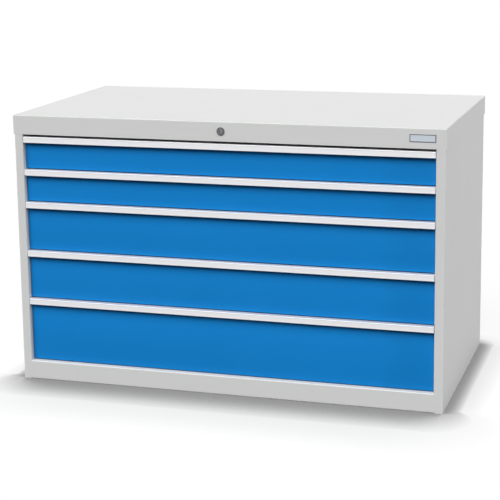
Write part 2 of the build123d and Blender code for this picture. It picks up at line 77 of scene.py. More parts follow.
def linear(colour: str) -> tuple[float, float, float, float]:
    """Turn an sRGB hex value into a linear colour.

    Args:
        colour: Six hex digits after a hash sign.

    Returns:
        Red, green, blue and an alpha of 1.
    """
    parts = [int(colour[start:start + 2], 16) / 255 for start in (1, 3, 5)]
    return (*[p / 12.92 if p <= 0.04045 else ((p + 0.055) / 1.055) ** 2.4 for p in parts], 1.0)


def per_metre(size_mm: float) -> float:
    """Give the texture scale at which one feature is size_mm wide."""
    return 1000.0 / size_mm


def shown(sockets: Any, name: str) -> bpy.types.NodeSocket:
    """Give the socket of that name that the node's settings show."""
    return next(socket for socket in sockets if socket.name == name and socket.enabled)


def add_node(
    tree: bpy.types.NodeTree,
    kind: str,
    settings: dict[str, Any] | None = None,
    links: dict[str, bpy.types.NodeSocket] | None = None,
) -> bpy.types.Node:
    """Add a node with its settings and its links.

    Args:
        tree: Node tree of a material or of the world.
        kind: Type name of the node.
        settings: Properties or input sockets by name, with their values.
        links: Input sockets by name, with the sockets that feed them.

    Returns:
        The new node.
    """
    node = tree.nodes.new(kind)
    for name, value in (settings or {}).items():
        if hasattr(node, name):
            setattr(node, name, value)
        else:
            shown(node.inputs, name).default_value = value
    for name, source in (links or {}).items():
        tree.links.new(source, shown(node.inputs, name))
    return node


@dataclass(frozen=True)
class Finish:
    """A real finish, made into a material once.

    Attributes:
        name: Common name of the finish.
        colour: Its sRGB hex colour.
        roughness: Its mean roughness.
    """

    name: str
    colour: str
    roughness: float

    def constants(self) -> dict[str, Any]:
        """Give the shader's own values that are the same all over."""
        return {}

    def draw(
        self, tree: bpy.types.NodeTree, shader: bpy.types.Node, place: bpy.types.NodeSocket
    ) -> None:
        """Add the pattern that the finish shows.

        Args:
            tree: Node tree of the material.
            shader: The Principled shader that takes the pattern.
            place: Object coordinates, in metres.
        """

    def material(self) -> bpy.types.Material:
        """Give the finish's material, made on the first call.

        Returns:
            The material of that name.
        """
        made = bpy.data.materials.get(self.name)
        if made:
            return made
        made = bpy.data.materials.new(self.name)
        made.use_nodes = True
        tree = made.node_tree
        tree.nodes.clear()
        place = add_node(tree, "ShaderNodeTexCoord").outputs["Object"]
        own = {"Base Color": linear(self.colour), "Roughness": self.roughness}
        shader = add_node(tree, "ShaderNodeBsdfPrincipled", own | self.constants())
        self.draw(tree, shader, place)
        add_node(tree, "ShaderNodeOutputMaterial", links={"Surface": shader.outputs["BSDF"]})
        return made


@dataclass(frozen=True)
class PowderCoat(Finish):
    """Satin polyester powder coat, sprayed on folded steel and baked.

    Attributes:
        shade: Colour where the coat lies a little thinner.
        peel_mm: Width of one dimple of its orange peel.
        peel_depth_mm: Depth of those dimples.
        peel_strength: Strength of the dimples in a reflection.
        cloud_mm: Width of one thin or thick place.
        edge_mm: Radius to which the coat rounds a cut edge.
        gloss: Specular level of the coat.
        swing: How far the roughness strays from its mean.
    """

    shade: str = "#CFD0CF"
    peel_mm: float = 2.2
    peel_depth_mm: float = 0.012
    peel_strength: float = 0.6
    cloud_mm: float = 260.0
    edge_mm: float = 0.5
    gloss: float = 0.4
    swing: float = 0.06

    def constants(self) -> dict[str, Any]:
        """Give the coat's specular level."""
        return {"Specular IOR Level": self.gloss}

    def draw(
        self, tree: bpy.types.NodeTree, shader: bpy.types.Node, place: bpy.types.NodeSocket
    ) -> None:
        """Add orange peel, thin and thick places, and coated edges.

        Args:
            tree: Node tree of the material.
            shader: The Principled shader that takes the pattern.
            place: Object coordinates, in metres.
        """
        # The dimples break up a reflection into a soft, slightly uneven sheen.
        peel = add_node(
            tree,
            "ShaderNodeTexNoise",
            {"Scale": per_metre(self.peel_mm), "Detail": 1.5},
            {"Vector": place},
        )
        edge = add_node(
            tree, "ShaderNodeBevel", {"samples": EDGE_SAMPLES, "Radius": self.edge_mm * MM}
        )
        bump = add_node(
            tree,
            "ShaderNodeBump",
            {"Strength": self.peel_strength, "Distance": self.peel_depth_mm * MM},
            {"Height": peel.outputs[0], "Normal": edge.outputs[0]},
        )
        tree.links.new(bump.outputs[0], shader.inputs["Normal"])
        # A wide, faint cloud keeps large sheets from looking like one flat tone.
        cloud = add_node(
            tree,
            "ShaderNodeTexNoise",
            {"Scale": per_metre(self.cloud_mm), "Detail": 2.0},
            {"Vector": place},
        )
        tone = add_node(
            tree,
            "ShaderNodeMix",
            {"data_type": "RGBA", "A": linear(self.shade), "B": linear(self.colour)},
            {"Factor": cloud.outputs[0]},
        )
        tree.links.new(shown(tone.outputs, "Result"), shader.inputs["Base Color"])
        satin = add_node(
            tree,
            "ShaderNodeMapRange",
            {"To Min": self.roughness - self.swing, "To Max": self.roughness + self.swing},
            {"Value": peel.outputs[0]},
        )
        tree.links.new(satin.outputs[0], shader.inputs["Roughness"])


@dataclass(frozen=True)
class DrawnAluminium(Finish):
    """Extruded aluminium, satin etched and anodised in its natural colour.

    Attributes:
        shade: Colour in the die lines.
        line_mm: Width of one die line, drawn coarser than the real one so that it shows.
        run_mm: Length over which a die line fades.
        line_depth_mm: Depth of a die line.
        line_strength: Strength of the die lines in a reflection.
        metallic: Share of metal in the look.
        edge_mm: Radius of the profile's edges.
        swing: How far the roughness strays from its mean.
    """

    shade: str = "#D2D3D5"
    line_mm: float = 0.9
    run_mm: float = 180.0
    line_depth_mm: float = 0.01
    line_strength: float = 0.3
    metallic: float = 0.15
    edge_mm: float = 0.3
    swing: float = 0.08

    def constants(self) -> dict[str, Any]:
        """Give the share of metal."""
        return {"Metallic": self.metallic}

    def draw(
        self, tree: bpy.types.NodeTree, shader: bpy.types.Node, place: bpy.types.NodeSocket
    ) -> None:
        """Add the fine lines that the die leaves along the strip.

        Args:
            tree: Node tree of the material.
            shader: The Principled shader that takes the pattern.
            place: Object coordinates, in metres.
        """
        # Long thin streaks along the strip, as on any drawn profile.
        along = (per_metre(self.run_mm), per_metre(self.line_mm), per_metre(self.line_mm))
        stretched = add_node(tree, "ShaderNodeMapping", {"Scale": along}, {"Vector": place})
        lines = add_node(
            tree,
            "ShaderNodeTexNoise",
            {"Scale": 1.0, "Detail": 2.0},
            {"Vector": stretched.outputs[0]},
        )
        tone = add_node(
            tree,
            "ShaderNodeMix",
            {"data_type": "RGBA", "A": linear(self.shade), "B": linear(self.colour)},
            {"Factor": lines.outputs[0]},
        )
        tree.links.new(shown(tone.outputs, "Result"), shader.inputs["Base Color"])
        satin = add_node(
            tree,
            "ShaderNodeMapRange",
            {"To Min": self.roughness - self.swing, "To Max": self.roughness + self.swing},
            {"Value": lines.outputs[0]},
        )
        tree.links.new(satin.outputs[0], shader.inputs["Roughness"])
        edge = add_node(
            tree, "ShaderNodeBevel", {"samples": EDGE_SAMPLES, "Radius": self.edge_mm * MM}
        )
        bump = add_node(
            tree,
            "ShaderNodeBump",
            {"Strength": self.line_strength, "Distance": self.line_depth_mm * MM},
            {"Height": lines.outputs[0], "Normal": edge.outputs[0]},
        )
        tree.links.new(bump.outputs[0], shader.inputs["Normal"])


@dataclass(frozen=True)
class ZincPlate(Finish):
    """Bright zinc plating with a thin blue passivation over cold rolled steel.

    Attributes:
        shade: Colour of the duller clouds.
        cloud_mm: Width of one cloud in the plating.
        dull_swing: How much rougher than the mean the dullest places are.
        bright_swing: How much smoother than the mean the brightest places are.
        grain_mm: Width of the steel's rolling grain.
        grain_depth_mm: Depth of that grain.
        grain_strength: Strength of the grain in a reflection.
        edge_mm: Radius of the steel's edges.
    """

    shade: str = "#9EA3A8"
    cloud_mm: float = 18.0
    dull_swing: float = 0.12
    bright_swing: float = 0.08
    grain_mm: float = 0.8
    grain_depth_mm: float = 0.01
    grain_strength: float = 0.25
    edge_mm: float = 0.3

    def constants(self) -> dict[str, Any]:
        """Give the metal."""
        return {"Metallic": 1.0}

    def draw(
        self, tree: bpy.types.NodeTree, shader: bpy.types.Node, place: bpy.types.NodeSocket
    ) -> None:
        """Add the plating's clouds and the steel's rolling grain.

        Args:
            tree: Node tree of the material.
            shader: The Principled shader that takes the pattern.
            place: Object coordinates, in metres.
        """
        # Milky patches that the bath leaves, seen as a change of tone and of gloss.
        cloud = add_node(
            tree,
            "ShaderNodeTexNoise",
            {"Scale": per_metre(self.cloud_mm), "Detail": 3.0},
            {"Vector": place},
        )
        tone = add_node(
            tree,
            "ShaderNodeMix",
            {"data_type": "RGBA", "A": linear(self.shade), "B": linear(self.colour)},
            {"Factor": cloud.outputs[0]},
        )
        tree.links.new(shown(tone.outputs, "Result"), shader.inputs["Base Color"])
        dull = add_node(
            tree,
            "ShaderNodeMapRange",
            {
                "To Min": self.roughness + self.dull_swing,
                "To Max": self.roughness - self.bright_swing,
            },
            {"Value": cloud.outputs[0]},
        )
        tree.links.new(dull.outputs[0], shader.inputs["Roughness"])
        grain = add_node(
            tree,
            "ShaderNodeTexNoise",
            {"Scale": per_metre(self.grain_mm), "Detail": 1.0},
            {"Vector": place},
        )
        edge = add_node(
            tree, "ShaderNodeBevel", {"samples": EDGE_SAMPLES, "Radius": self.edge_mm * MM}
        )
        bump = add_node(
            tree,
            "ShaderNodeBump",
            {"Strength": self.grain_strength, "Distance": self.grain_depth_mm * MM},
            {"Height": grain.outputs[0], "Normal": edge.outputs[0]},
        )
        tree.links.new(bump.outputs[0], shader.inputs["Normal"])


@dataclass(frozen=True)
class TurnedNickel(Finish):
    """Nickel plating over a part turned on a lathe.

    Attributes:
        centre_mm: Point on the axis of turning.
        ring_mm: Pitch of the tool's rings, drawn coarser than the real ones so that they show.
        ring_depth_mm: Depth of a ring.
        ring_strength: Strength of the rings in a reflection.
        waver: How far the rings stray from a true circle.
        smooth_swing: How much smoother than the mean the grooves are.
        worn_swing: How much rougher than the mean the ridges are.
    """

    centre_mm: tuple[float, float, float] = (0.0, 0.0, 0.0)
    ring_mm: float = 0.5
    ring_depth_mm: float = 0.01
    ring_strength: float = 0.3
    waver: float = 0.4
    smooth_swing: float = 0.05
    worn_swing: float = 0.08

    def constants(self) -> dict[str, Any]:
        """Give the metal."""
        return {"Metallic": 1.0}

    def draw(
        self, tree: bpy.types.NodeTree, shader: bpy.types.Node, place: bpy.types.NodeSocket
    ) -> None:
        """Add the rings that the tool leaves round the axis.

        Args:
            tree: Node tree of the material.
            shader: The Principled shader that takes the pattern.
            place: Object coordinates, in metres.
        """
        # Fine rings about the lock's own axis make the face glint as it turns.
        shift = tuple(-value * MM for value in self.centre_mm)
        centred = add_node(tree, "ShaderNodeMapping", {"Location": shift}, {"Vector": place})
        rings = add_node(
            tree,
            "ShaderNodeTexWave",
            {
                "wave_type": "RINGS",
                "rings_direction": "Y",
                "Scale": WAVE_LENGTH / (self.ring_mm * MM),
                "Distortion": self.waver,
            },
            {"Vector": centred.outputs[0]},
        )
        bump = add_node(
            tree,
            "ShaderNodeBump",
            {"Strength": self.ring_strength, "Distance": self.ring_depth_mm * MM},
            {"Height": rings.outputs["Fac"]},
        )
        tree.links.new(bump.outputs[0], shader.inputs["Normal"])
        worn = add_node(
            tree,
            "ShaderNodeMapRange",
            {
                "To Min": self.roughness - self.smooth_swing,
                "To Max": self.roughness + self.worn_swing,
            },
            {"Value": rings.outputs["Fac"]},
        )
        tree.links.new(worn.outputs[0], shader.inputs["Roughness"])


@dataclass(frozen=True)
class MouldedNylon(Finish):
    """Injection moulded nylon with the fine texture of an eroded mould.

    Attributes:
        shade: Colour in the pits.
        pit_mm: Width of one pit, drawn coarser than the real one so that it shows.
        pit_depth_mm: Depth of a pit.
        pit_strength: Strength of the pits in a reflection.
    """

    shade: str = "#D9D6CC"
    pit_mm: float = 0.8
    pit_depth_mm: float = 0.02
    pit_strength: float = 0.4

    def draw(
        self, tree: bpy.types.NodeTree, shader: bpy.types.Node, place: bpy.types.NodeSocket
    ) -> None:
        """Add the pits of the mould.

        Args:
            tree: Node tree of the material.
            shader: The Principled shader that takes the pattern.
            place: Object coordinates, in metres.
        """
        # A fine, even pitting that keeps the plastic from shining.
        pits = add_node(
            tree, "ShaderNodeTexVoronoi", {"Scale": per_metre(self.pit_mm)}, {"Vector": place}
        )
        tone = add_node(
            tree,
            "ShaderNodeMix",
            {"data_type": "RGBA", "A": linear(self.shade), "B": linear(self.colour)},
            {"Factor": pits.outputs["Distance"]},
        )
        tree.links.new(shown(tone.outputs, "Result"), shader.inputs["Base Color"])
        bump = add_node(
            tree,
            "ShaderNodeBump",
            {"Strength": self.pit_strength, "Distance": self.pit_depth_mm * MM},
            {"Height": pits.outputs["Distance"]},
        )
        tree.links.new(bump.outputs[0], shader.inputs["Normal"])


HOUSING_GREY = PowderCoat("light grey powder coat", "#D5D6D5", 0.5, shade="#D1D2D1")
TRAY_GREY = PowderCoat("tray grey powder coat", "#CFD0CF", 0.5, shade="#CACBCA", peel_mm=2.6)
FRONT_BLUE = PowderCoat("blue powder coat", "#1081CC", 0.55, shade="#0D7CC6", gloss=0.15)
HANDLE_METAL = DrawnAluminium(
    "natural anodised aluminium", "#E4E4E6", 0.5, shade="#DEDEE1", metallic=0.45
)
PLATE_FIELD = DrawnAluminium("satin etched aluminium", "#CDD5DE", 0.4, shade="#C2CAD4", run_mm=40.0)
PLATE_EDGE = DrawnAluminium("dark anodised aluminium", "#62606E", 0.4, shade="#5A5866", run_mm=40.0)
ZINC = ZincPlate("bright zinc plating", "#C3C7CB", 0.36)
PLUG_NICKEL = ZincPlate("nickel plate of the plug", "#838385", 0.35, shade="#78787A", cloud_mm=3.0)
ROLLER_NYLON = MouldedNylon("natural nylon", "#E6E3DA", 0.5)
GUIDE_NYLON = MouldedNylon("black nylon", "#222224", 0.5, shade="#1B1B1D")


def dress(node: str, finish: Finish) -> None:
    """Give a node of the frame its finish.

    Args:
        node: Name of the node.
        finish: The finish that it gets.
    """
    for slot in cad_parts[node].material_slots:
        slot.material = finish.material()


def clear_selection() -> None:
    """Deselect every object."""
    bpy.ops.object.select_all(action="DESELECT")


@dataclass
class Workpiece:
    """A mesh on the bench, shaped by the hand tools of edit mode.

    Attributes:
        piece: The mesh object.
    """

    piece: bpy.types.Object

    @classmethod
    def cylinder(
        cls, name: str, centre: Vector, radius: float, length: float, sides: int = 64
    ) -> "Workpiece":
        """Start from a cylinder that lies from front to rear.

        Args:
            name: Name of the piece.
            centre: Middle of the cylinder, in metres.
            radius: Its radius, in metres.
            length: Its length, in metres.
            sides: Number of sides.

        Returns:
            The new workpiece.
        """
        clear_selection()
        bpy.ops.mesh.primitive_cylinder_add(
            vertices=sides,
            radius=radius,
            depth=length,
            location=centre,
            rotation=(math.pi / 2, 0, 0),
        )
        return cls.claim(name)

    @classmethod
    def slab(cls, name: str, centre: Vector, size: Vector) -> "Workpiece":
        """Start from a straight block.

        Args:
            name: Name of the piece.
            centre: Middle of the block, in metres.
            size: Its width, depth and height, in metres.

        Returns:
            The new workpiece.
        """
        clear_selection()
        bpy.ops.mesh.primitive_cube_add(size=1.0, location=centre, scale=size)
        return cls.claim(name)

    @classmethod
    def claim(cls, name: str) -> "Workpiece":
        """Name the new primitive and put its place into its mesh.

        Args:
            name: Name of the piece.

        Returns:
            The workpiece made of it.
        """
        piece = bpy.context.object
        piece.name = name
        piece.data.name = name
        bpy.ops.object.transform_apply(location=True, rotation=True, scale=True)
        return cls(piece)

    def pick_faces(self, test: Callable[[Vector, Vector], bool]) -> "Workpiece":
        """Go into edit mode with some faces selected.

        Args:
            test: Tells from a face's centre and normal whether it is picked.

        Returns:
            The workpiece.
        """
        mesh = self.piece.data
        for group in (mesh.vertices, mesh.edges):
            group.foreach_set("select", [False] * len(group))
        for face in mesh.polygons:
            face.select = test(face.center, face.normal)
        bpy.ops.object.mode_set(mode="EDIT")
        bpy.ops.mesh.select_mode(type="FACE")
        return self

    def pick_edges(self, test: Callable[[Vector], bool]) -> "Workpiece":
        """Go into edit mode with some edges selected.

        Args:
            test: Tells from a point whether it belongs; an edge is picked by both its ends.

        Returns:
            The workpiece.
        """
        mesh = self.piece.data
        mesh.vertices.foreach_set("select", [False] * len(mesh.vertices))
        mesh.polygons.foreach_set("select", [False] * len(mesh.polygons))
        for edge in mesh.edges:
            edge.select = all(test(mesh.vertices[index].co) for index in edge.vertices)
        bpy.ops.object.mode_set(mode="EDIT")
        bpy.ops.mesh.select_mode(type="EDGE")
        return self

    def done(self) -> "Workpiece":
        """Leave edit mode."""
        bpy.ops.object.mode_set(mode="OBJECT")
        return self

    def inset(self, thickness: float) -> "Workpiece":
        """Inset the selected faces by a thickness, in metres."""
        bpy.ops.mesh.inset(thickness=thickness, use_even_offset=True)
        return self

    def push(self, offset: Vector) -> "Workpiece":
        """Extrude the selected faces along an offset, in metres."""
        bpy.ops.mesh.extrude_region_move(TRANSFORM_OT_translate={"value": offset})
        return self

    def spread(self, centre: Vector, across: float, up: float) -> "Workpiece":
        """Scale the selected faces about a centre.

        Args:
            centre: The point that stays, in metres.
            across: Factor from left to right.
            up: Factor upwards.

        Returns:
            The workpiece.
        """
        bpy.ops.transform.resize(value=(across, 1.0, up), center_override=centre)
        return self

    def bevel(self, width: float, segments: int = 3) -> "Workpiece":
        """Bevel the selected edges, by a width in metres."""
        bpy.ops.mesh.bevel(offset=width, segments=segments, affect="EDGES", profile=0.5)
        return self

    def copy(self, name: str, shift: Vector) -> "Workpiece":
        """Copy the piece with a mesh of its own.

        Args:
            name: Name of the copy.
            shift: Way from the piece to the copy, in metres.

        Returns:
            The new workpiece.
        """
        clear_selection()
        self.piece.select_set(True)
        bpy.context.view_layer.objects.active = self.piece
        bpy.ops.object.duplicate()
        bpy.context.object.location = shift
        return self.claim(name)

    def finish(self, body: Body, finishes: list[Finish], *replaced: str) -> bpy.types.Object:
        """Close the normals, shade the piece, dress it and let it ride.

        Args:
            body: Body that the piece rides on.
            finishes: Finishes for its material slots, in order.
            replaced: Nodes that it stands for.

        Returns:
            The finished piece.
        """
        clear_selection()
        self.piece.select_set(True)
        bpy.context.view_layer.objects.active = self.piece
        bpy.ops.object.mode_set(mode="EDIT")
        bpy.ops.mesh.select_all(action="SELECT")
        bpy.ops.mesh.remove_doubles(threshold=WELD_M)
        bpy.ops.mesh.normals_make_consistent(inside=False)
        bpy.ops.object.mode_set(mode="OBJECT")
        bpy.ops.object.shade_smooth_by_angle(angle=math.radians(CREASE_DEG))
        for finish in finishes:
            self.piece.data.materials.append(finish.material())
        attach(self.piece, body.value)
        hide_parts(*replaced)
        LOG.info("made %s", self.piece.name)
        return self.piece


@dataclass
class Housing:
    """Folded steel housing with its uprights.

    Attributes:
        enamelled: Nodes of coated sheet.
        plated: Nodes of plated sheet.
    """

    enamelled: tuple[str, ...] = (
        "left_side_panel",
        "right_side_panel",
        "top_cover",
        "head_rail",
        "front_plinth",
        "floor_panel",
        "back_panel",
    )
    plated: tuple[str, ...] = (
        "front_left_upright",
        "front_right_upright",
        "rear_left_upright",
        "rear_right_upright",
    )

    def dress(self) -> None:
        """Dress the sheets in grey and the uprights in zinc."""
        for node in self.enamelled:
            dress(node, HOUSING_GREY)
        for node in self.plated:
            dress(node, ZINC)
        LOG.info("dressed the housing")


@dataclass
class Lock:
    """Cylinder lock in the rim, and the bars that it moves.

    Attributes:
        throat_mm: Radius of the bore that the plug turns in.
        body_mm: Radius of the case behind the rim.
        bezel_mm: Thickness of the bezel in front of the rim.
        round_mm: Rounding of the bezel's outer edge.
        works: Nodes of the plated pieces behind the rim.
        guides: Nodes of the moulded guides.
    """

    throat_mm: float = 6.55
    body_mm: float = 9.45
    bezel_mm: float = 2.5
    round_mm: float = 1.0
    works: tuple[str, ...] = (
        "lock_nut",
        "lock_cam",
        "cam_screw",
        "draw_bar",
        "locking_bar",
        "locking_lugs",
    )
    guides: tuple[str, ...] = ("draw_bar_guides", "locking_bar_guides")

    def build(self) -> None:
        """Model the case over its node: bezel, body and the bore through both."""
        low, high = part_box("lock_barrel")
        centre = (low + high) / 2
        radius = (high.x - low.x) / 2
        sizes_mm = (self.bezel_mm, self.body_mm, self.throat_mm)
        bezel, body, throat = (value * MM for value in sizes_mm)
        nickel = TurnedNickel(
            "dark turned nickel plate",
            "#646467",
            0.4,
            centre_mm=(centre.x / MM, low.y / MM, centre.z / MM),
        )

        def off_axis(place: Vector) -> float:
            """Give the distance of a point from the lock's axis."""
            return math.hypot(place.x - centre.x, place.z - centre.z)

        def at_bore(place: Vector, normal: Vector) -> bool:
            """Tell whether a face closes the bore, in front or behind."""
            return abs(normal.y) > FACING and off_axis(place) < throat / 2

        def at_front_edge(place: Vector) -> bool:
            """Tell whether a point lies on the bezel's outer edge, in front."""
            return off_axis(place) > (radius + body) / 2 and place.y < low.y + bezel / 4

        middle = Vector((centre.x, low.y + bezel / 2, centre.z))
        case = Workpiece.cylinder("lock_case", middle, radius, bezel)
        case.pick_faces(lambda place, normal: normal.y > FACING).inset(radius - body)
        case.push(Vector((0, high.y - low.y - bezel, 0))).inset(body - throat).done()
        case.pick_faces(lambda place, normal: normal.y < -FACING).inset(radius - throat).done()
        case.pick_faces(at_bore)
        bpy.ops.mesh.bridge_edge_loops()
        case.done()
        case.pick_edges(at_front_edge).bevel(self.round_mm * MM, segments=4).done()
        case.finish(Body.CABINET, [nickel], "lock_barrel")

    def dress(self) -> None:
        """Dress the nodes of the lock's works."""
        for node in self.works:
            dress(node, ZINC)
        dress("lock_plug", PLUG_NICKEL)
        for node in self.guides:
            dress(node, GUIDE_NYLON)
        LOG.info("dressed the lock and its bars")


@dataclass
class RimPlate:
    """Bare plate at the right end of the rim: a dark border round a satin field.

    Attributes:
        border_mm: Width of the border.
        recess_mm: Depth of the field below the border.
        round_mm: Rounding of the plate's front edge.
    """

    border_mm: float = 2.4
    recess_mm: float = 0.3
    round_mm: float = 0.25

    def build(self) -> None:
        """Model the plate over its node."""
        low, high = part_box("rim_plate")
        plate = Workpiece.slab("plain_plate", (low + high) / 2, high - low)
        plate.pick_faces(lambda place, normal: normal.y < -FACING).inset(self.border_mm * MM)
        plate.push(Vector((0, self.recess_mm * MM, 0))).done()
        plate.pick_edges(lambda place: place.y < low.y + SAME_MM * MM)
        plate.bevel(self.round_mm * MM, segments=2).done()
        made = plate.finish(Body.CABINET, [PLATE_EDGE, PLATE_FIELD], "rim_plate")
        for face in made.data.polygons:
            if face.normal.y < -FACING and face.center.y > low.y + self.recess_mm * MM / 2:
                face.material_index = 1


@dataclass
class Slides:
    """Three-part telescopic slides."""

    def dress(self) -> None:
        """Dress the rails in zinc and the rollers in nylon."""
        dress("cabinet_rails", ZINC)
        dress("cabinet_rail_rollers", ROLLER_NYLON)
        for number in DRAWERS:
            for part in ("rails", "middle_rails"):
                dress(f"drawer_{number}_{part}", ZINC)
            for part in ("rollers", "middle_rollers"):
                dress(f"drawer_{number}_{part}", ROLLER_NYLON)
        LOG.info("dressed the slides")


@dataclass
class Drawer:
    """One drawer: tray, folded front and handle strip.

    Attributes:
        number: Place in the row, from the top.
        side_gap_mm: How far the front's folded edge stays inside the end of the handle strip.
        flange_mm: Width of the flanges folded inwards behind the front.
        sheet_mm: Thickness of the front's sheet.
        fold_mm: Outer radius of its folds.
    """

    number: int
    side_gap_mm: float = 0.6
    flange_mm: float = 30.0
    sheet_mm: float = 1.2
    fold_mm: float = 1.4

    def front_box(self) -> tuple[Vector, Vector]:
        """Give the box of the front, which is nearly as wide as the handle strip.

        Returns:
            Its lowest and its highest corner, in metres.
        """
        low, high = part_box(f"drawer_{self.number}_front")
        left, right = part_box(f"drawer_{self.number}_handle")
        gap = self.side_gap_mm * MM
        return Vector((left.x + gap, low.y, low.z)), Vector((right.x - gap, high.y, high.z))

    def shape(self) -> Workpiece:
        """Shape the front: a shallow pan with folded walls and flanges.

        Returns:
            The workpiece, not yet finished.
        """
        low, high = self.front_box()
        size, middle = high - low, (low + high) / 2
        sheet, flange = self.sheet_mm * MM, self.flange_mm * MM
        pan = Workpiece.slab(f"drawer_{self.number}_folded_front", middle, size)
        # The way in between the flanges first, then the wider hollow in front of them.
        pan.pick_faces(lambda place, normal: normal.y > FACING).inset(flange)
        pan.push(Vector((0, -sheet, 0)))
        wide, tall = ((side - 2 * sheet) / (side - 2 * flange) for side in (size.x, size.z))
        pan.push(Vector((0, 0, 0))).spread(middle, wide, tall)
        pan.push(Vector((0, 2 * sheet - size.y, 0))).done()
        pan.pick_edges(lambda place: place.y < low.y + SAME_MM * MM)
        pan.bevel(self.fold_mm * MM, segments=3).done()
        return pan

    def finish(self, pan: Workpiece) -> None:
        """Finish the front and let it ride in place of its node."""
        pan.finish(Body(f"drawer_{self.number}"), [FRONT_BLUE], f"drawer_{self.number}_front")

    def dress(self) -> None:
        """Dress the tray and the handle strip."""
        dress(f"drawer_{self.number}_tray", TRAY_GREY)
        dress(f"drawer_{self.number}_handle", HANDLE_METAL)
        LOG.info("dressed drawer %d", self.number)


@dataclass
class Stack:
    """The drawers over one another.

    Attributes:
        drawers: All drawers, from the top.
    """

    drawers: list[Drawer]

    def build(self) -> None:
        """Shape one front of each height, copy it for the others, then finish them all."""
        fronts: dict[int, Workpiece] = {}
        for drawer in self.drawers:
            fronts[drawer.number] = self.twin(drawer, fronts) or drawer.shape()
        for drawer in self.drawers:
            drawer.finish(fronts[drawer.number])

    def twin(self, drawer: Drawer, fronts: dict[int, Workpiece]) -> Workpiece | None:
        """Copy a front of the same height, if there is one.

        Args:
            drawer: The drawer that needs a front.
            fronts: The fronts shaped so far, by the number of their drawer.

        Returns:
            The copy in the drawer's place, or None.
        """
        low, high = drawer.front_box()
        for other in self.drawers:
            base, top = other.front_box()
            if other.number in fronts and (top - base - high + low).length < SAME_MM * MM:
                name = f"drawer_{drawer.number}_folded_front"
                return fronts[other.number].copy(name, low - base)
        return None

    def dress(self) -> None:
        """Dress every drawer."""
        for drawer in self.drawers:
            drawer.dress()


@dataclass(frozen=True)
class Lamp:
    """A wide, distant lamp.

    Attributes:
        name: Name of the lamp.
        strength: Its strength, in watts per square metre.
        elevation: Its height above the horizon, in degrees.
        azimuth: Its turn from straight in front towards the right, in degrees.
        spread: Width of its disc in the sky, in degrees.
        shines: Whether it shows as a highlight in glossy surfaces.
        distance_m: How far off it hangs, which changes nothing in its light.
    """

    name: str
    strength: float
    elevation: float
    azimuth: float
    spread: float
    shines: bool = True
    distance_m: float = 6.0

    def hang(self) -> None:
        """Hang the lamp in the sky."""
        clear_selection()
        turn = (
            Matrix.Rotation(math.radians(self.azimuth), 3, "Z")
            @ Matrix.Rotation(math.radians(90 - self.elevation), 3, "X")
        )
        away = turn @ Vector((0, 0, self.distance_m))
        bpy.ops.object.light_add(type="SUN", location=away, rotation=turn.to_euler())
        lamp = bpy.context.object
        lamp.name = self.name
        lamp.data.energy = self.strength
        lamp.data.angle = math.radians(self.spread)
        lamp.visible_glossy = self.shines


# High lamps in front light the top and the fronts. Low ones at the sides and behind even out
# the rest, and give no highlight, which would lie along the whole of the flat cover.
LAMPS = (
    Lamp("front light", 1.9, 46.0, 0.0, 44.0),
    Lamp("front light from the left", 1.9, 46.0, -30.0, 44.0),
    Lamp("low right light", 1.9, 6.0, 89.0, 18.0, shines=False),
    Lamp("low left light", 2.1, 6.0, -105.0, 18.0, shines=False),
    Lamp("low back light", 1.75, 6.0, 180.0, 18.0, shines=False),
)


